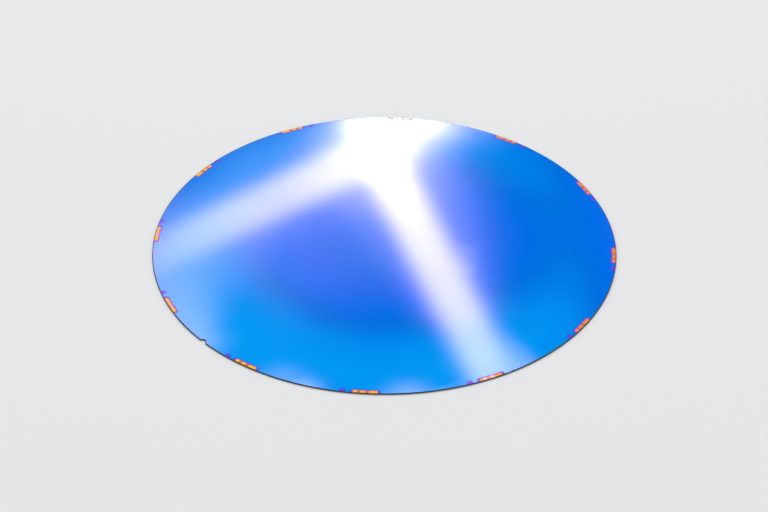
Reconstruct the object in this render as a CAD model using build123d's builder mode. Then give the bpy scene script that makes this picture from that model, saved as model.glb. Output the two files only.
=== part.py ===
from build123d import *
from build123d.topology import SkipClean
import os
from math import pi, radians, sin, tan

# A 200 mm silicon wafer, lying flat with its coated front face up.
# The origin is the centre of the back face, +Z is up and the notch is on -Y. Sizes are in millimetres.

# Disc
wafer_diameter = 200.0
thickness = 0.725

# Ground edge: a bevel on each face, rounded into a narrow upright band at the rim
bevel_width = 0.35
bevel_angle = 22.0
rim_band_height = 0.16

# Alignment notch
notch_depth = 1.2
notch_angle = 90.0
notch_root_radius = 1.0
notch_mouth_radius = 0.9

# Marks that clamp fingers left in the front coating, by the edge of the front face
mark_count = 12
first_mark_angle = 13.53
mark_length = 11.2
mark_width = 1.7
mark_corner_radius = 0.6

# The small round mark beside each of them, on the clockwise side seen from above
dot_diameter = 2.2
dot_from_edge = 0.6
dot_from_mark = 9.3

# Worked-out sizes
wafer_radius = wafer_diameter / 2
face_radius = wafer_radius - bevel_width
bevel_height = bevel_width * tan(radians(bevel_angle))
upper_bevel_foot = thickness - bevel_height
# A round between the bevel and the upright band turns through the angle that the bevel leaves
quarter_turn = 90.0
shoulder_turn = quarter_turn - bevel_angle
shoulder_height = (thickness - rim_band_height) / 2 - bevel_height
shoulder_radius = shoulder_height / tan(radians(shoulder_turn / 2))
# The V is drawn sharp, deep enough that its rounded root stops at the notch's depth
sharp_depth = notch_depth + notch_root_radius * (1 / sin(radians(notch_angle / 2)) - 1)
# The V's sides run on past the rim
v_overrun = notch_depth
v_height = sharp_depth + v_overrun
v_mouth_width = 2 * v_height * tan(radians(notch_angle / 2))
dot_circle_radius = face_radius - dot_from_edge
dot_offset_angle = dot_from_mark / dot_circle_radius * 180 / pi
# Angles round the wafer are counted from +X, and the notch lies a quarter turn clockwise of it
mark_start_angle = first_mark_angle - quarter_turn
dot_start_angle = mark_start_angle - dot_offset_angle
# A mark is a stretch of a ring along the edge: a blank that crosses the whole ring, cut to it. The edge cuts
# the dots too, as each of them reaches past it
mark_blank_width = 4 * mark_width
# The marks have no depth of their own: this much of the wafer is fused in again below their outlines
imprint_depth = bevel_height


with BuildPart() as wafer:
    # The disc's outline with its V notch, rounded at the root and at the mouth
    with BuildSketch() as outline:
        Circle(wafer_radius)
        with BuildLine():
            Polyline(
                (0, sharp_depth - wafer_radius),
                (v_mouth_width / 2, -wafer_radius - v_overrun),
                (-v_mouth_width / 2, -wafer_radius - v_overrun),
                close=True,
            )
        make_face(mode=Mode.SUBTRACT)
        corners = outline.vertices().sort_by(Axis.Y)
        fillet(corners[2], radius=notch_root_radius)
        corners = outline.vertices().sort_by(Axis.Y)
        fillet(corners[:2], radius=notch_mouth_radius)
    extrude(amount=thickness)

    # The ground edge runs round the rim and through the notch, alike on both faces
    for face_axis in (Axis.Z, -Axis.Z):
        flat = wafer.faces().sort_by(face_axis)[-1]
        chamfer(flat.edges(), length=bevel_width, length2=bevel_height, reference=flat)
    upper_shoulder = wafer.edges().filter_by_position(Axis.Z, upper_bevel_foot, upper_bevel_foot)
    lower_shoulder = wafer.edges().filter_by_position(Axis.Z, bevel_height, bevel_height)
    fillet(upper_shoulder + lower_shoulder, radius=shoulder_radius)

    # The clamp-finger marks, as outlines on the front face: bands that follow the edge, and dots.
    # The faces that they bound lie in the front face, so they are kept from being merged back into it.
    with BuildSketch(Plane.XY.offset(thickness)) as marks:
        with PolarLocations(face_radius, mark_count, start_angle=mark_start_angle):
            Rectangle(mark_blank_width, mark_length)
        Circle(face_radius - mark_width, mode=Mode.SUBTRACT)
        inner_corners = marks.vertices().sort_by_distance((0, 0, thickness))[: 2 * mark_count]
        fillet(inner_corners, radius=mark_corner_radius)
        with PolarLocations(dot_circle_radius, mark_count, start_angle=dot_start_angle):
            Circle(dot_diameter / 2)
        Circle(face_radius, mode=Mode.INTERSECT)
    with SkipClean():
        extrude(amount=-imprint_depth, clean=False)

wafer.part.label = "wafer"

os.makedirs("parts", exist_ok=True)
export_step(wafer.part, "parts/wafer.step")
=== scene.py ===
import math
from types import SimpleNamespace

import bmesh
import bpy
from bpy.props import FloatProperty, FloatVectorProperty, IntProperty, PointerProperty
from mathutils import Matrix, Vector


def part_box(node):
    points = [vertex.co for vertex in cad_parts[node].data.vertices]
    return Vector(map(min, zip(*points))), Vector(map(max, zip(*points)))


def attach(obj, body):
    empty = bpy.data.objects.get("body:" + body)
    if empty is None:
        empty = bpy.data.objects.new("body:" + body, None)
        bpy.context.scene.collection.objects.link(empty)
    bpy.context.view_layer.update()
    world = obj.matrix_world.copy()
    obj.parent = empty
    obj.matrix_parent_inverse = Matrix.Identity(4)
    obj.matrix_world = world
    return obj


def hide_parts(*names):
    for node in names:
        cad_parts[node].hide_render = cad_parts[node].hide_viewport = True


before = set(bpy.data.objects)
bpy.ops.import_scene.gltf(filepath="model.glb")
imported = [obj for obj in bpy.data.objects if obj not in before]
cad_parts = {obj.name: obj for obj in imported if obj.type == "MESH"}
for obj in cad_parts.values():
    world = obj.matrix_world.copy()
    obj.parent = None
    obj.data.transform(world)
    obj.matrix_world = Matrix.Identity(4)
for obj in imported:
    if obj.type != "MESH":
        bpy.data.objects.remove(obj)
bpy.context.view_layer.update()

bl_info = {
    "name": "Silicon Wafer",
    "version": (1, 0, 0),
    "blender": (4, 5, 0),
    "location": "View3D > Sidebar > Wafer",
    "description": "Builds a coated silicon wafer with ground edge and notch, its table and its light",
    "category": "Add Mesh",
}

MM = 0.001
LOW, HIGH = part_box("wafer")
WAFER_RADIUS = (HIGH.x - LOW.x) / 2
WAFER_THICKNESS = HIGH.z - LOW.z
FILM_SLOT, EDGE_SLOT, BACK_SLOT = range(3)

# Steps in the short arcs of the outline and of the edge profile
MOUTH_STEPS = 10
ROOT_STEPS = 18
SHOULDER_STEPS = 8
MERGE_DISTANCE = 0.001 * MM

# A Mix node has inputs of the same name for each kind of data, so they are given by number
FLOAT_A, FLOAT_B = 2, 3
COLOUR_A, COLOUR_B = 6, 7


def linear(hex_colour):
    """An sRGB hex colour as the linear RGBA that Blender's sockets take."""
    channels = [int(hex_colour[i : i + 2], 16) / 255 for i in (0, 2, 4)]
    return (*(c / 12.92 if c <= 0.04045 else ((c + 0.055) / 1.055) ** 2.4 for c in channels), 1.0)


def add_node(tree, kind, inputs=None, **settings):
    """Adds a shader node with its settings. Each input is set to a value, or linked to the output given
    or to a node's first output."""
    node = tree.nodes.new("ShaderNode" + kind)
    for name, value in settings.items():
        setattr(node, name, value)
    for key, value in (inputs or {}).items():
        if isinstance(value, bpy.types.Node):
            value = value.outputs[0]
        if isinstance(value, bpy.types.NodeSocket):
            tree.links.new(value, node.inputs[key])
        else:
            node.inputs[key].default_value = value
    return node


def new_material(name):
    """A material with an empty node tree, and that tree."""
    material = bpy.data.materials.new(name)
    material.use_nodes = True
    material.node_tree.nodes.clear()
    return material, material.node_tree


def new_object(name, bm, materials):
    """A mesh object at the origin, made from a bmesh, which is freed."""
    mesh = bpy.data.meshes.new(name)
    bm.to_mesh(mesh)
    bm.free()
    for material in materials:
        mesh.materials.append(material)
    obj = bpy.data.objects.new(name, mesh)
    bpy.context.scene.collection.objects.link(obj)
    return obj


class WaferSizes(bpy.types.PropertyGroup):
    """The ground edge and the notch. The disc's diameter and thickness come from the wafer part in
    model.glb.
    """

    bevel_width: FloatProperty(
        name="Bevel width",
        description="How far the ground bevel reaches in from the rim",
        default=0.35 * MM,
        unit="LENGTH",
    )
    bevel_angle: FloatProperty(
        name="Bevel angle",
        description="Slope of the ground bevel against the face",
        default=math.radians(22),
        unit="ROTATION",
    )
    rim_band_height: FloatProperty(
        name="Rim band height",
        description="Height of the upright band at the rim",
        default=0.16 * MM,
        unit="LENGTH",
    )
    notch_depth: FloatProperty(
        name="Notch depth",
        description="From the rim's circle to the bottom of the notch",
        default=1.2 * MM,
        unit="LENGTH",
    )
    notch_angle: FloatProperty(
        name="Notch angle",
        description="Angle between the two sides of the notch",
        default=math.radians(90),
        unit="ROTATION",
    )
    notch_root_radius: FloatProperty(
        name="Notch root radius",
        description="Rounding at the bottom of the notch",
        default=1.0 * MM,
        unit="LENGTH",
    )
    notch_mouth_radius: FloatProperty(
        name="Notch mouth radius",
        description="Rounding where the notch meets the rim",
        default=0.9 * MM,
        unit="LENGTH",
    )
    rim_segments: IntProperty(
        name="Rim segments",
        description="Straight steps that the rim's circle is drawn in",
        default=720,
        min=64,
    )


class FilmLook(bpy.types.PropertyGroup):
    """The oxide film's thickness over the front face, and the marks that clamp fingers left in it."""

    centre_thickness: FloatProperty(
        name="Centre thickness",
        description="Film thickness at the middle of the wafer, in nanometres",
        default=300.0,
    )
    ring_thickening: FloatProperty(
        name="Ring thickening",
        description="How many nanometres thicker the film is on the ring where it is thickest",
        default=25.2,
    )
    ring_radius: FloatProperty(
        name="Ring radius",
        description="Radius of the ring where the film is thickest",
        default=85.4 * MM,
        unit="LENGTH",
    )
    lean: FloatVectorProperty(
        name="Lean",
        description="How many nanometres the film gains from the middle to the rim on +X and on +Y",
        size=2,
        default=(0.5, -5.0),
    )
    saddle: FloatProperty(
        name="Saddle",
        description="How many nanometres the rim's film gains on two diagonals and loses on the others",
        default=4.6,
    )
    three_lobes: FloatProperty(
        name="Three lobes",
        description="How many nanometres the film gains on the ring in three lobes, one towards +X",
        default=1.4,
    )
    four_lobes: FloatProperty(
        name="Four lobes",
        description="How many nanometres the film gains on the ring in four lobes, one towards +X",
        default=1.2,
    )
    unevenness: FloatProperty(
        name="Unevenness",
        description="How many nanometres the film wavers by",
        default=1.0,
    )
    first_mark_angle: FloatProperty(
        name="First mark angle",
        description="From the notch, counter-clockwise, to the middle of the first clamp-finger mark",
        default=math.radians(13.53),
        unit="ROTATION",
    )
    mark_count: IntProperty(
        name="Marks",
        description="Clamp-finger marks round the wafer",
        default=12,
        min=1,
    )
    mark_length: FloatProperty(
        name="Mark length",
        description="Length of a mark along the rim",
        default=11.2 * MM,
        unit="LENGTH",
    )
    mark_width: FloatProperty(
        name="Mark width",
        description="How far a mark reaches in from the film's edge",
        default=1.7 * MM,
        unit="LENGTH",
    )
    mark_corner_radius: FloatProperty(
        name="Mark corner radius",
        description="Rounding of a mark's inner corners",
        default=0.6 * MM,
        unit="LENGTH",
    )
    mark_thickness: FloatProperty(
        name="Mark thickness",
        description="Film thickness under a clamp finger's pads, in nanometres",
        default=220.0,
    )
    mark_lean: FloatVectorProperty(
        name="Mark lean",
        description="How many nanometres the marks' film gains from the middle to the rim on +X and on +Y",
        size=2,
        default=(8.0, 9.0),
    )
    gap_thickness: FloatProperty(
        name="Gap thickness",
        description="Film thickness between the pads, in nanometres",
        default=236.0,
    )
    gap_dulling: FloatProperty(
        name="Gap dulling",
        description="Share of the film's light that is lost between the pads",
        default=0.15,
        subtype="FACTOR",
    )
    dot_diameter: FloatProperty(
        name="Dot diameter",
        description="Size of the small mark beside each mark",
        default=2.2 * MM,
        unit="LENGTH",
    )
    dot_from_edge: FloatProperty(
        name="Dot from edge",
        description="From the film's edge to the dot's centre",
        default=0.6 * MM,
        unit="LENGTH",
    )
    dot_from_mark: FloatProperty(
        name="Dot from mark",
        description="From the mark's middle to the dot's centre, clockwise",
        default=9.3 * MM,
        unit="LENGTH",
    )
    dot_thickness: FloatProperty(
        name="Dot thickness",
        description="Film thickness in a dot, in nanometres",
        default=280.0,
    )


class StageLook(bpy.types.PropertyGroup):
    """The camera and the light."""

    camera_heading: FloatProperty(
        name="Camera heading",
        description="Direction the camera looks in, seen from above, counter-clockwise from +Y",
        default=math.radians(47.87),
        unit="ROTATION",
    )
    camera_pitch: FloatProperty(
        name="Camera pitch",
        description="How far the camera looks down",
        default=math.radians(36.737),
        unit="ROTATION",
    )
    camera_roll: FloatProperty(
        name="Camera roll",
        description="Turn of the camera about its own axis",
        default=math.radians(0.153),
        unit="ROTATION",
    )
    camera_place: FloatVectorProperty(
        name="Camera place",
        description="Camera from the middle of the front face: right, ahead and up, as the camera faces",
        default=(-0.000145, -0.792639, 0.585340),
        subtype="TRANSLATION",
        precision=6,
    )
    camera_lens: FloatProperty(
        name="Lens",
        description="Focal length for a 36 mm wide sensor, in millimetres",
        default=106.87,
    )
    bank_strength: FloatProperty(
        name="Light bank strength",
        description="Radiance of the light bank where a strip's brightness is 1",
        default=27.6,
    )
    bank_falloff: FloatProperty(
        name="Light bank falloff",
        description="How suddenly a strip's light ends at its sides: 2 is a bell curve, more is harder",
        default=2.8,
    )


# Colours of a silicon oxide film on polished silicon by its thickness in nanometres, from gold through
# rose and violet to azure. They start from the order that such films have in white light and are then
# matched to this one
FILM_COLOURS = (
    (218, "FFBC27"),
    (226, "F4A03C"),
    (234, "EB8556"),
    (242, "E56A74"),
    (252, "DF559F"),
    (262, "CB40CC"),
    (272, "A43CE0"),
    (281, "7C3FE6"),
    (291, "4559EA"),
    (300, "276FEC"),
    (307, "1E6CEF"),
    (314, "066FF0"),
    (319, "0175E7"),
    (324, "028CF4"),
    (329, "019BFA"),
    (336, "0FA4FF"),
)

# Between a clamp finger's three pads the film is less thin: each gap's middle, from the mark's middle
# counter-clockwise, and its width, in millimetres
PAD_GAPS = ((-2.65, 1.3), (0.7, 1.6))


def face_coordinates(tree):
    """Where a point of the front face lies: its place in millimetres, its distance from the middle and its
    direction from there."""
    coords = add_node(tree, "TexCoord")
    place = add_node(
        tree, "VectorMath", {0: coords.outputs["Object"], 1: (1 / MM, 1 / MM, 0)}, operation="MULTIPLY"
    )
    xyz = add_node(tree, "SeparateXYZ", {"Vector": place})
    x, y = xyz.outputs["X"], xyz.outputs["Y"]
    from_middle = add_node(tree, "VectorMath", {0: place}, operation="LENGTH").outputs["Value"]
    angle = add_node(tree, "Math", {0: y, 1: x}, operation="ARCTAN2")
    return SimpleNamespace(place=place, x=x, y=y, from_middle=from_middle, angle=angle)


def lean_gain(tree, place, lean, film_radius):
    """What the film gains at a place from leaning, where the lean is its gain at the rim on +X and on +Y."""
    per_millimetre = (lean[0] / film_radius, lean[1] / film_radius, 0)
    gain = add_node(tree, "VectorMath", {0: place, 1: per_millimetre}, operation="DOT_PRODUCT")
    return gain.outputs["Value"]


def unmarked_thickness(tree, look, film_radius, face):
    """The film's own thickness: least in the middle, most on a ring near the rim, and not quite even."""
    share = add_node(tree, "Math", {0: face.from_middle, 1: look.ring_radius / MM}, operation="DIVIDE")
    share_squared = add_node(tree, "Math", {0: share, 1: share}, operation="MULTIPLY")
    short_of_ring = add_node(tree, "Math", {0: 1.0, 1: share_squared}, operation="SUBTRACT")
    dish = add_node(tree, "Math", {0: short_of_ring, 1: short_of_ring}, operation="MULTIPLY")
    ring_thickness = look.centre_thickness + look.ring_thickening
    dished = add_node(
        tree, "Math", {0: dish, 1: -look.ring_thickening, 2: ring_thickness}, operation="MULTIPLY_ADD"
    )
    lean = lean_gain(tree, face.place, look.lean, film_radius)
    leaning = add_node(tree, "Math", {0: dished, 1: lean}, operation="ADD")

    # The saddle grows with x times y and with the distance squared. It is down towards +X +Y and -X -Y
    diagonal = add_node(tree, "Math", {0: face.x, 1: face.y}, operation="MULTIPLY")
    diagonal_at_rim = add_node(tree, "Math", {0: diagonal, 1: share_squared}, operation="MULTIPLY")
    saddle_size = -2 * look.saddle * (look.ring_radius / MM) ** 2 / film_radius**4
    saddled = add_node(
        tree, "Math", {0: diagonal_at_rim, 1: saddle_size, 2: leaning}, operation="MULTIPLY_ADD"
    )

    lobed = saddled
    for lobes, gain in ((3, look.three_lobes), (4, look.four_lobes)):
        lobe_angle = add_node(tree, "Math", {0: face.angle, 1: lobes}, operation="MULTIPLY")
        lobe = add_node(tree, "Math", {0: lobe_angle}, operation="COSINE")
        lobe_gain = add_node(tree, "Math", {0: share_squared, 1: gain}, operation="MULTIPLY")
        lobed = add_node(tree, "Math", {0: lobe, 1: lobe_gain, 2: lobed}, operation="MULTIPLY_ADD")

    # Soft clouds, 30 mm across
    clouds = add_node(
        tree, "TexNoise", {"Vector": face.place, "Scale": 1 / 30, "Detail": 1.0, "Roughness": 0.4}
    )
    waver = add_node(
        tree, "MapRange", {"Value": clouds, "To Min": -look.unevenness, "To Max": look.unevenness}
    )
    return add_node(tree, "Math", {0: lobed, 1: waver}, operation="ADD")


def stretch_of_rim(tree, look, film_radius, face):
    """The same stretch of rim round each mark, in millimetres: how far along it from the mark's middle,
    counter-clockwise, and how far in from the film's edge."""
    mark_angle = look.first_mark_angle - math.pi / 2
    half_pitch = math.pi / look.mark_count
    from_mark = add_node(tree, "Math", {0: face.angle, 1: mark_angle}, operation="SUBTRACT")
    turn = add_node(tree, "Math", {0: from_mark, 1: half_pitch, 2: -half_pitch}, operation="WRAP")
    along = add_node(tree, "Math", {0: turn, 1: film_radius}, operation="MULTIPLY")
    depth = add_node(tree, "Math", {0: film_radius, 1: face.from_middle}, operation="SUBTRACT")
    return along, depth


def mark_fringe(tree, look, strip):
    """0 in a mark's gold core, a rectangle with round inner corners, and 1 where the violet fringe round it
    ends. The fringe's middle is the mark's outline. At the inner side the fringe is narrower."""
    half_fringe = 0.8
    inner_squeeze = 2.1
    core_corner = look.mark_corner_radius / MM / 2
    core_length = look.mark_length / 2 / MM - half_fringe - core_corner
    core_width = look.mark_width / MM - (half_fringe + core_corner) / inner_squeeze
    folded = add_node(tree, "VectorMath", {0: strip}, operation="ABSOLUTE")
    past = add_node(tree, "VectorMath", {0: folded, 1: (core_length, core_width, 0)}, operation="SUBTRACT")
    outside = add_node(tree, "VectorMath", {0: past, 1: (0, 0, 0)}, operation="MAXIMUM")
    squeezed = add_node(tree, "VectorMath", {0: outside, 1: (1, inner_squeeze, 1)}, operation="MULTIPLY")
    from_core = add_node(tree, "VectorMath", {0: squeezed}, operation="LENGTH").outputs["Value"]
    return add_node(
        tree,
        "MapRange",
        {"Value": from_core, "From Min": core_corner, "From Max": core_corner + 2 * half_fringe},
    )


def pad_gaps(tree, along, fringe):
    """1 in the gaps between a clamp finger's pads, with soft sides, and 0 on the pads and off the mark."""
    gaps = 0.0
    for middle, width in PAD_GAPS:
        from_gap = add_node(tree, "Math", {0: along, 1: middle}, operation="SUBTRACT")
        gap_distance = add_node(tree, "Math", {0: from_gap}, operation="ABSOLUTE")
        # Half as strong where the gap's width ends, half a width from its middle
        gap = add_node(
            tree,
            "MapRange",
            {
                "Value": gap_distance,
                "From Min": width / 4,
                "From Max": width * 3 / 4,
                "To Min": 1.0,
                "To Max": 0.0,
            },
            interpolation_type="SMOOTHSTEP",
        )
        gaps = add_node(tree, "Math", {0: gap, 1: gaps}, operation="MAXIMUM")
    in_core = add_node(tree, "Math", {0: 1.0, 1: fringe}, operation="SUBTRACT")
    return add_node(tree, "Math", {0: gaps, 1: in_core}, operation="MULTIPLY")


def film_colour(tree, thickness):
    """The film's colour at a thickness."""
    thinnest, thickest = FILM_COLOURS[0][0], FILM_COLOURS[-1][0]
    colour_place = add_node(
        tree, "MapRange", {"Value": thickness, "From Min": thinnest, "From Max": thickest}
    )
    ramp = add_node(tree, "ValToRGB", {"Fac": colour_place})
    ramp.color_ramp.interpolation = "CARDINAL"
    stops = ramp.color_ramp.elements
    for nanometres, _ in FILM_COLOURS[1:-1]:
        stops.new((nanometres - thinnest) / (thickest - thinnest))
    for stop, (_, colour) in zip(stops, FILM_COLOURS):
        stop.color = linear(colour)
    return ramp


def oxide_film():
    """Silicon oxide film, a third of a micrometre thick, on mirror-polished silicon. Light that the film's
    two faces send back interferes, so its thickness decides the colour: blue, with gold and violet where it
    is thin."""
    look = bpy.context.scene.film_look
    material, tree = new_material("oxide_film_on_polished_silicon")
    film_radius = (WAFER_RADIUS - bpy.context.scene.wafer_sizes.bevel_width) / MM
    face = face_coordinates(tree)
    even = unmarked_thickness(tree, look, film_radius, face)
    along, depth = stretch_of_rim(tree, look, film_radius, face)
    strip = add_node(tree, "CombineXYZ", {"X": along, "Y": depth})

    # A mark: thin under the pads and less thin between them. Over the fringe the film thickens, fastest at
    # the core
    fringe_bow = 0.8
    fringe = mark_fringe(tree, look, strip)
    fringe_rise = add_node(tree, "Math", {0: fringe, 1: fringe_bow}, operation="POWER")
    between_pads = pad_gaps(tree, along, fringe)
    mark_lean = lean_gain(tree, face.place, look.mark_lean, film_radius)
    on_pad = add_node(tree, "Math", {0: mark_lean, 1: look.mark_thickness}, operation="ADD")
    in_mark = add_node(
        tree, "Mix", {0: between_pads, FLOAT_A: on_pad, FLOAT_B: look.gap_thickness}, data_type="FLOAT"
    )
    marked = add_node(tree, "Mix", {0: fringe_rise, FLOAT_A: in_mark, FLOAT_B: even}, data_type="FLOAT")

    # The dot beside it, and how far its soft edge reaches in and out, in millimetres
    edge_inwards, edge_outwards = 0.3, 0.5
    dot_radius = look.dot_diameter / 2 / MM
    dot_place = (-look.dot_from_mark / MM, look.dot_from_edge / MM, 0)
    from_dot = add_node(tree, "VectorMath", {0: strip, 1: dot_place}, operation="DISTANCE").outputs["Value"]
    dot_edge = add_node(
        tree,
        "MapRange",
        {"Value": from_dot, "From Min": dot_radius - edge_inwards, "From Max": dot_radius + edge_outwards},
    )
    dotted = add_node(
        tree, "Mix", {0: dot_edge, FLOAT_A: look.dot_thickness, FLOAT_B: even}, data_type="FLOAT"
    )
    thickness = add_node(tree, "Math", {0: marked, 1: dotted}, operation="MINIMUM")

    kept_light = add_node(
        tree, "Math", {0: between_pads, 1: -look.gap_dulling, 2: 1.0}, operation="MULTIPLY_ADD"
    )
    colour = add_node(
        tree, "VectorMath", {0: film_colour(tree, thickness), "Scale": kept_light}, operation="SCALE"
    )

    # The white mirror image of a bright light lies over the colour. It is fainter on a dot, and hardly there
    # on the pads and the inner half of their fringe
    pad_gloss = 0.06
    dot_gloss = 0.5
    glossy_from = 0.5
    outer_fringe = add_node(tree, "MapRange", {"Value": fringe, "From Min": glossy_from})
    off_pads = add_node(tree, "Math", {0: outer_fringe, 1: between_pads}, operation="MAXIMUM")
    round_pads = add_node(tree, "MapRange", {"Value": off_pads, "To Min": pad_gloss})
    round_dot = add_node(tree, "MapRange", {"Value": dot_edge, "To Min": dot_gloss})
    gloss = add_node(tree, "Math", {0: round_pads, 1: round_dot}, operation="MINIMUM")

    shader = add_node(
        tree,
        "BsdfPrincipled",
        {
            "Base Color": colour,
            "Metallic": 1.0,
            "Roughness": 0.1,
            "Specular Tint": linear("BCE7FF"),
            "Coat Weight": gloss,
            "Coat Roughness": 0.0,
            "Coat IOR": 1.5,
        },
    )
    add_node(tree, "OutputMaterial", {"Surface": shader})
    return material


def ground_edge():
    """Monocrystalline silicon, ground to its edge profile with a diamond wheel. Its top half is painted near
    black, a painted dark reflection, and its bottom half a lighter grey, painted light bounced up from the
    floor. Fine marks of the grit break both."""
    material, tree = new_material("ground_silicon_edge")
    coords = add_node(tree, "TexCoord")
    # The grit leaves marks about 0.1 mm apart. Seen from a step away they only break the shine
    grit = add_node(
        tree,
        "TexNoise",
        {"Vector": coords.outputs["Object"], "Scale": 1 / (0.1 * MM), "Detail": 2.0},
    )
    # Painted dark reflection: the top half of the edge is painted near black
    polished = add_node(
        tree, "Mix", {0: grit, COLOUR_A: linear("0B0C0F"), COLOUR_B: linear("1E2026")}, data_type="RGBA"
    )
    # Painted bounce light: the bottom half of the edge is painted a lighter grey, as if lit from the floor
    satin = add_node(
        tree, "Mix", {0: grit, COLOUR_A: linear("6F7176"), COLOUR_B: linear("83858A")}, data_type="RGBA"
    )

    # The bottom half's painted bounce light turns into the top half's painted dark reflection between these
    # shares of the thickness
    painted_bounce_top, painted_dark_foot = 0.4, 0.65
    height = add_node(tree, "SeparateXYZ", {"Vector": coords.outputs["Object"]}).outputs["Z"]
    painted_dark_share = add_node(
        tree,
        "MapRange",
        {
            "Value": height,
            "From Min": LOW.z + painted_bounce_top * WAFER_THICKNESS,
            "From Max": LOW.z + painted_dark_foot * WAFER_THICKNESS,
        },
        interpolation_type="SMOOTHSTEP",
    )
    # The painted dark reflection above the painted bounce light, chosen by height
    shade = add_node(
        tree,
        "Mix",
        {0: painted_dark_share, COLOUR_A: satin.outputs["Result"], COLOUR_B: polished.outputs["Result"]},
        data_type="RGBA",
    )
    roughness = add_node(tree, "MapRange", {"Value": grit, "To Min": 0.35, "To Max": 0.6})
    shader = add_node(
        tree,
        "BsdfPrincipled",
        {"Base Color": shade.outputs["Result"], "Roughness": roughness, "IOR": 1.5},
    )
    add_node(tree, "OutputMaterial", {"Surface": shader})
    return material


def etched_back():
    """Monocrystalline silicon, lapped and then etched in acid: satin grey with shallow etch dimples."""
    material, tree = new_material("etched_silicon_back")
    coords = add_node(tree, "TexCoord")
    # Real etch dimples are some 0.05 mm across, too fine to show, so they are drawn 0.6 mm across
    dimples = add_node(
        tree,
        "TexVoronoi",
        {"Vector": coords.outputs["Object"], "Scale": 1 / (0.6 * MM)},
        feature="SMOOTH_F1",
    )
    # Cloudy stain of the acid, 25 mm across
    stain = add_node(
        tree, "TexNoise", {"Vector": coords.outputs["Object"], "Scale": 1 / (25 * MM), "Detail": 3.0}
    )
    shade = add_node(
        tree, "Mix", {0: stain, COLOUR_A: linear("7C7E83"), COLOUR_B: linear("9B9DA1")}, data_type="RGBA"
    )
    roughness = add_node(tree, "MapRange", {"Value": stain, "To Min": 0.32, "To Max": 0.5})
    bump = add_node(
        tree, "Bump", {"Height": dimples.outputs["Distance"], "Strength": 0.25, "Distance": 0.02 * MM}
    )
    shader = add_node(
        tree,
        "BsdfPrincipled",
        {"Base Color": shade.outputs["Result"], "Metallic": 1.0, "Roughness": roughness, "Normal": bump},
    )
    add_node(tree, "OutputMaterial", {"Surface": shader})
    return material


def lay_out_bake_map(bm):
    """A UV map to bake the finishes into: the front face fills the square, the back face lies in a corner of
    it and the edge in four strips along its sides, a quarter of the rim each."""
    front_radius = 0.475
    back_radius = 0.085
    back_middle = Vector((0.09, 0.91))
    strip_length = 0.64
    strip_foot, strip_height = 0.004, 0.012
    middle = Vector((0.5, 0.5))
    layer = bm.loops.layers.uv.new("OFBake")
    for face in bm.faces:
        face_middle = face.calc_center_median()
        quarter = round(math.atan2(face_middle.y, face_middle.x) / (math.pi / 2))
        for loop in face.loops:
            place = loop.vert.co.xy / WAFER_RADIUS
            if face.material_index == FILM_SLOT:
                loop[layer].uv = middle + place * front_radius
            elif face.material_index == BACK_SLOT:
                loop[layer].uv = back_middle + Vector((-place.x, place.y)) * back_radius
            else:
                # Turned so that the strip's quarter faces +X
                place.rotate(Matrix.Rotation(-quarter * math.pi / 2, 2))
                along = math.atan2(place.y, place.x) / (math.pi / 2) * strip_length
                height = strip_foot + (loop.vert.co.z - LOW.z) / WAFER_THICKNESS * strip_height
                spot = Vector((along, height - 0.5))
                spot.rotate(Matrix.Rotation(quarter * math.pi / 2, 2))
                loop[layer].uv = middle + spot


def arc(bm, vert, centre, angle, steps):
    """Draws an arc from a vertex, about an upright axis, and returns its far end."""
    made = bmesh.ops.spin(
        bm, geom=[vert], cent=centre, axis=(0, 0, 1), dvec=(0, 0, 0), angle=angle, steps=steps
    )
    return next(v for v in made["geom_last"] if isinstance(v, bmesh.types.BMVert))


def straight(bm, vert, way):
    """Draws a straight edge from a vertex and returns its far end."""
    end = bmesh.ops.extrude_vert_indiv(bm, verts=[vert])["verts"]
    bmesh.ops.translate(bm, vec=way, verts=end)
    return end[0]


def wafer_outline(bm, sizes, height):
    """Draws the rim's circle with the V notch on -Y, at a height, and fills it with a face that looks up."""
    lean = sizes.notch_angle / 2
    root_radius = sizes.notch_root_radius
    mouth_radius = sizes.notch_mouth_radius
    root_centre = Vector((0, sizes.notch_depth - WAFER_RADIUS - root_radius, height))
    side_normal = Vector((math.cos(lean), math.sin(lean), 0))
    side_way = Vector((math.sin(lean), -math.cos(lean), 0))

    # A mouth arc touches the notch's side and the rim's circle, which sets how long the side is
    across = root_centre + side_normal * (root_radius + mouth_radius)
    across.z = 0
    run = across.dot(side_way)
    reach = (WAFER_RADIUS - mouth_radius) ** 2 - across.length_squared
    side_length = math.sqrt(run * run + reach) - run
    mouth = across + side_way * side_length
    mouth_turn = math.atan2(mouth.x, -mouth.y)
    mouth_centre = Vector((mouth.x, mouth.y, height))
    other_mouth = Vector((-mouth.x, mouth.y, height))

    rim_start = mouth.normalized() * WAFER_RADIUS
    start = bm.verts.new((rim_start.x, rim_start.y, height))
    vert = arc(bm, start, (0, 0, height), 2 * math.pi - 2 * mouth_turn, sizes.rim_segments)
    vert = arc(bm, vert, other_mouth, math.pi / 2 - lean + mouth_turn, MOUTH_STEPS)
    vert = straight(bm, vert, Vector((side_way.x, -side_way.y, 0)) * side_length)
    vert = arc(bm, vert, root_centre, sizes.notch_angle - math.pi, ROOT_STEPS)
    vert = straight(bm, vert, side_way * side_length)
    arc(bm, vert, mouth_centre, math.pi / 2 - lean + mouth_turn, MOUTH_STEPS)
    bmesh.ops.remove_doubles(bm, verts=bm.verts, dist=MERGE_DISTANCE)
    face = bmesh.ops.contextual_create(bm, geom=bm.edges[:])["faces"][0]
    face.normal_update()
    if face.normal.z < 0:
        face.normal_flip()
    return face


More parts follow.
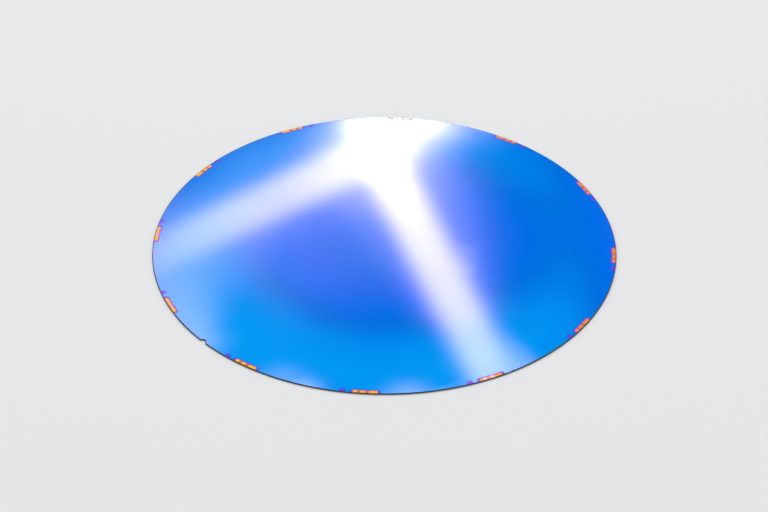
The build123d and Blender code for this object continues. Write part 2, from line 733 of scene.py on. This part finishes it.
def build_wafer(sizes):
    """The disc: its outline is raised to the rim band, and each side is then stepped in to its face."""
    bm = bmesh.new()
    band_low = (WAFER_THICKNESS - sizes.rim_band_height) / 2
    bottom = wafer_outline(bm, sizes, LOW.z + band_low)
    made = bmesh.ops.extrude_face_region(bm, geom=[bottom])["geom"]
    bmesh.ops.translate(
        bm,
        vec=(0, 0, sizes.rim_band_height),
        verts=[item for item in made if isinstance(item, bmesh.types.BMVert)],
    )
    bmesh.ops.recalc_face_normals(bm, faces=bm.faces)
    flats = [face for face in bm.faces if abs(face.normal.z) > 0.9]
    back, front = sorted(flats, key=lambda face: face.calc_center_median().z)

    # The round shoulder turns from the upright band to the bevel's slope
    bevel_height = sizes.bevel_width * math.tan(sizes.bevel_angle)
    shoulder_turn = math.pi / 2 - sizes.bevel_angle
    shoulder_radius = (band_low - bevel_height) / math.tan(shoulder_turn / 2)
    turns = [shoulder_turn * step / SHOULDER_STEPS for step in range(SHOULDER_STEPS + 1)]
    profile = [(shoulder_radius * (1 - math.cos(turn)), shoulder_radius * math.sin(turn)) for turn in turns]
    profile.append((sizes.bevel_width, band_low))
    for face in (back, front):
        for (inset, rise), (next_inset, next_rise) in zip(profile, profile[1:]):
            bmesh.ops.inset_region(
                bm,
                faces=[face],
                thickness=next_inset - inset,
                depth=next_rise - rise,
                use_boundary=True,
                use_even_offset=True,
            )
    for face in bm.faces:
        face.material_index = EDGE_SLOT
        face.smooth = True
    for face, slot in ((front, FILM_SLOT), (back, BACK_SLOT)):
        face.material_index = slot
        face.smooth = False
        for edge in face.edges:
            edge.smooth = False
    lay_out_bake_map(bm)
    return bm


class WAFER_OT_disc(bpy.types.Operator):
    """Build the wafer with its ground edge and notch, and its film, edge and back finishes"""

    bl_idname = "wafer.disc"
    bl_label = "Wafer"

    def execute(self, context):
        bm = build_wafer(context.scene.wafer_sizes)
        piece = new_object("silicon_wafer", bm, [oxide_film(), ground_edge(), etched_back()])
        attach(piece, "root")
        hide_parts("wafer")
        return {"FINISHED"}


# The light bank's strips, placed by where the camera sees them mirrored in the front face, right and ahead
# of its middle. Each has its two ends, its half width at each end and its brightness at each end. Lengths
# are in film radii
LIGHT_STRIPS = {
    "stem": ((0.12, 1.25), (-0.08, 0.54), (0.235, 0.31), (1.4, 0.22)),
    "stem_core": ((0.08, 1.03), (0.10, 1.25), (0.12, 0.20), (9.0, 9.0)),
    "stem_side": ((-0.07, 0.93), (0.41, 1.02), (0.12, 0.20), (0.67, 0.14)),
    "far_stem": ((0.15, 1.45), (0.38, 4.50), (0.24, 0.28), (1.1, 0.25)),
    "left_branch": ((-0.01, 0.74), (-1.08, -0.16), (0.157, 0.13), (0.78, 0.12)),
    "right_branch": ((0.02, 0.54), (0.44, -0.90), (0.115, 0.10), (0.84, 0.51)),
    "branch_knot": ((0.36, -0.04), (0.35, -0.17), (0.05, 0.05), (0.05, 0.085)),
    "left_haze": ((-0.53, 0.98), (-0.52, 0.25), (0.24, 0.25), (0.01, 0.08)),
    "left_glow": ((-0.56, 0.04), (-0.43, 0.04), (0.33, 0.45), (0.105, 0.057)),
    "right_glow": ((0.11, 0.36), (0.30, -0.41), (0.28, 0.16), (0.18, 0.16)),
    "left_side": ((-1.20, -0.03), (-0.81, -0.68), (0.48, 0.13), (0.127, 0.284)),
    "near_spot": ((-0.36, -1.01), (-0.41, -0.94), (0.10, 0.10), (0.50, 0.13)),
    "near_foot": ((0.10, -1.04), (0.13, -1.08), (0.10, 0.24), (0.23, 0.07)),
    "near_right": ((0.49, -0.64), (0.72, -1.18), (0.05, 0.085), (0.03, 0.49)),
    "window_behind": ((-0.90, -16.40), (1.70, -13.10), (0.40, 0.50), (0.06, 0.12)),
}


def add_strip(tree, seen, strip, falloff, glow):
    """Adds a strip's light to the glow. It changes evenly from end to end and fades at the sides."""
    start, end, (start_width, end_width), (start_light, end_light) = strip
    way = Vector((*end, 0)) - Vector((*start, 0))
    from_start = add_node(tree, "VectorMath", {0: seen, 1: (*start, 0)}, operation="SUBTRACT")
    run = add_node(
        tree, "VectorMath", {0: from_start, 1: way / way.length_squared}, operation="DOT_PRODUCT"
    )
    share = add_node(tree, "Math", {0: run.outputs["Value"], 1: 0.0}, operation="ADD", use_clamp=True)
    nearest = add_node(tree, "VectorMath", {0: way, "Scale": share}, operation="SCALE")
    apart = add_node(tree, "VectorMath", {0: from_start, 1: nearest}, operation="DISTANCE")
    width = add_node(
        tree, "Math", {0: share, 1: end_width - start_width, 2: start_width}, operation="MULTIPLY_ADD"
    )
    across = add_node(tree, "Math", {0: apart.outputs["Value"], 1: width}, operation="DIVIDE")
    power = add_node(tree, "Math", {0: across, 1: falloff}, operation="POWER")
    fading = add_node(tree, "Math", {0: power, 1: -1.0}, operation="MULTIPLY")
    side = add_node(tree, "Math", {0: fading}, operation="EXPONENT")
    light = add_node(
        tree, "Math", {0: share, 1: end_light - start_light, 2: start_light}, operation="MULTIPLY_ADD"
    )
    return add_node(tree, "Math", {0: side, 1: light, 2: glow}, operation="MULTIPLY_ADD")


def light_bank(look):
    """A level sheet of soft light strips over the wafer, which only sharp mirror images show."""
    material, tree = new_material("light_bank")
    film_radius = WAFER_RADIUS - bpy.context.scene.wafer_sizes.bevel_width
    camera = Vector(look.camera_place)

    # The bank is as high over the wafer as the camera, so a point seen mirrored at a place on the wafer lies
    # twice as far from the camera's foot as that place
    coords = add_node(tree, "TexCoord")
    scale = 1 / (2 * film_radius)
    seen = add_node(
        tree,
        "Mapping",
        {
            "Vector": coords.outputs["Object"],
            "Rotation": (0, 0, -look.camera_heading),
            "Scale": (scale, scale, 0),
            "Location": (camera.x * scale, camera.y * scale, 0),
        },
    )
    glow = 0.0
    for strip in LIGHT_STRIPS.values():
        glow = add_strip(tree, seen, strip, look.bank_falloff, glow)

    path = add_node(tree, "LightPath")
    mirrored = add_node(
        tree, "Math", {0: path.outputs["Is Singular Ray"], 1: look.bank_strength}, operation="MULTIPLY"
    )
    strength = add_node(tree, "Math", {0: glow, 1: mirrored}, operation="MULTIPLY")
    emission = add_node(tree, "Emission", {"Color": linear("C8B8FF"), "Strength": strength})
    clear = add_node(tree, "BsdfTransparent")
    both = add_node(tree, "AddShader", {0: emission, 1: clear})
    add_node(tree, "OutputMaterial", {"Surface": both})
    material.cycles.emission_sampling = "NONE"
    return material


class WAFER_OT_stage(bpy.types.Operator):
    """Add the floor, the studio light and the camera"""

    bl_idname = "wafer.stage"
    bl_label = "Stage"

    def execute(self, context):
        look = context.scene.stage_look
        self.add_floor()
        self.add_world(context.scene)
        self.add_lamp(context.scene)
        self.add_bank(look)
        self.add_camera(context.scene, look)
        return {"FINISHED"}

    def add_floor(self):
        material, tree = new_material("pale_table")
        shader = add_node(
            tree,
            "BsdfPrincipled",
            {"Base Color": linear("DCDDDE"), "Roughness": 0.9, "Specular IOR Level": 0.0},
        )
        add_node(tree, "OutputMaterial", {"Surface": shader})
        # Large enough that its end is the horizon
        table_radius = 30.0
        bm = bmesh.new()
        bmesh.ops.create_circle(bm, cap_ends=True, segments=96, radius=table_radius)
        new_object("table_top", bm, [material])

    def add_world(self, scene):
        """White all round. Sharp mirror images show it pale blue, and only near the horizon, because the
        light bank is over the rest of it."""
        world = bpy.data.worlds.new("studio")
        world.use_nodes = True
        world.node_tree.nodes.clear()
        tree = world.node_tree
        # Sine of the height over the horizon at which its mirror image starts to fade, and where it is gone
        fade_from, fade_to = 0.05, 0.45
        coords = add_node(tree, "TexCoord")
        way = add_node(tree, "SeparateXYZ", {"Vector": coords.outputs["Generated"]})
        over_horizon = add_node(
            tree,
            "MapRange",
            {"Value": way.outputs["Z"], "From Min": fade_from, "From Max": fade_to},
            interpolation_type="SMOOTHSTEP",
        )
        path = add_node(tree, "LightPath")
        hidden = add_node(
            tree, "Math", {0: over_horizon, 1: path.outputs["Is Singular Ray"]}, operation="MULTIPLY"
        )
        strength = add_node(tree, "Math", {0: 1.0, 1: hidden}, operation="SUBTRACT")
        colour = add_node(
            tree,
            "Mix",
            {0: path.outputs["Is Singular Ray"], COLOUR_A: linear("FFFFFF"), COLOUR_B: linear("A6BFE6")},
            data_type="RGBA",
        )
        sky = add_node(tree, "Background", {"Color": colour.outputs["Result"], "Strength": strength})
        add_node(tree, "OutputWorld", {"Surface": sky})
        scene.world = world

    def add_lamp(self, scene):
        lamp = bpy.data.lights.new("soft_box", "AREA")
        lamp.shape = "SQUARE"
        lamp.size = 0.8
        lamp.energy = 3.0
        obj = bpy.data.objects.new("soft_box", lamp)
        obj.location = (-0.6, 0.5, 1.2)
        obj.rotation_euler = (-obj.location).to_track_quat("-Z", "Y").to_euler()
        obj.visible_glossy = False
        scene.collection.objects.link(obj)

    def add_bank(self, look):
        half_width = 4.0
        bm = bmesh.new()
        bmesh.ops.create_grid(bm, x_segments=1, y_segments=1, size=half_width)
        bmesh.ops.translate(bm, vec=(0, 0, HIGH.z + look.camera_place[2]), verts=bm.verts)
        bank = new_object("light_bank", bm, [light_bank(look)])
        bank.visible_camera = False
        bank.visible_diffuse = False
        bank.visible_shadow = False

    def add_camera(self, scene, look):
        data = bpy.data.cameras.new("camera")
        data.lens = look.camera_lens
        data.sensor_width = 36.0
        obj = bpy.data.objects.new("camera", data)
        obj.matrix_world = (
            Matrix.Translation((0, 0, HIGH.z))
            @ Matrix.Rotation(look.camera_heading, 4, "Z")
            @ Matrix.Translation(look.camera_place)
            @ Matrix.Rotation(math.pi / 2 - look.camera_pitch, 4, "X")
            @ Matrix.Rotation(look.camera_roll, 4, "Z")
        )
        scene.collection.objects.link(obj)
        scene.camera = obj


class WAFER_PT_panel(bpy.types.Panel):
    """The wafer's sizes and the operators that build it"""

    bl_label = "Silicon Wafer"
    bl_space_type = "VIEW_3D"
    bl_region_type = "UI"
    bl_category = "Wafer"

    def draw(self, context):
        scene = context.scene
        for groups, operator in (
            ((scene.wafer_sizes, scene.film_look), "wafer.disc"),
            ((scene.stage_look,), "wafer.stage"),
        ):
            box = self.layout.box()
            for group in groups:
                for name in group.__annotations__:
                    box.prop(group, name)
            box.operator(operator)


CLASSES = (WaferSizes, FilmLook, StageLook, WAFER_OT_disc, WAFER_OT_stage, WAFER_PT_panel)


def register():
    for cls in CLASSES:
        bpy.utils.register_class(cls)
    bpy.types.Scene.wafer_sizes = PointerProperty(type=WaferSizes)
    bpy.types.Scene.film_look = PointerProperty(type=FilmLook)
    bpy.types.Scene.stage_look = PointerProperty(type=StageLook)


def unregister():
    del bpy.types.Scene.stage_look
    del bpy.types.Scene.film_look
    del bpy.types.Scene.wafer_sizes
    for cls in reversed(CLASSES):
        bpy.utils.unregister_class(cls)


def main():
    """Builds the wafer and its stage."""
    register()
    scene = bpy.context.scene
    scene.view_settings.view_transform = "Standard"
    bpy.ops.wafer.disc()
    bpy.ops.wafer.stage()


if __name__ == "__main__":
    main()
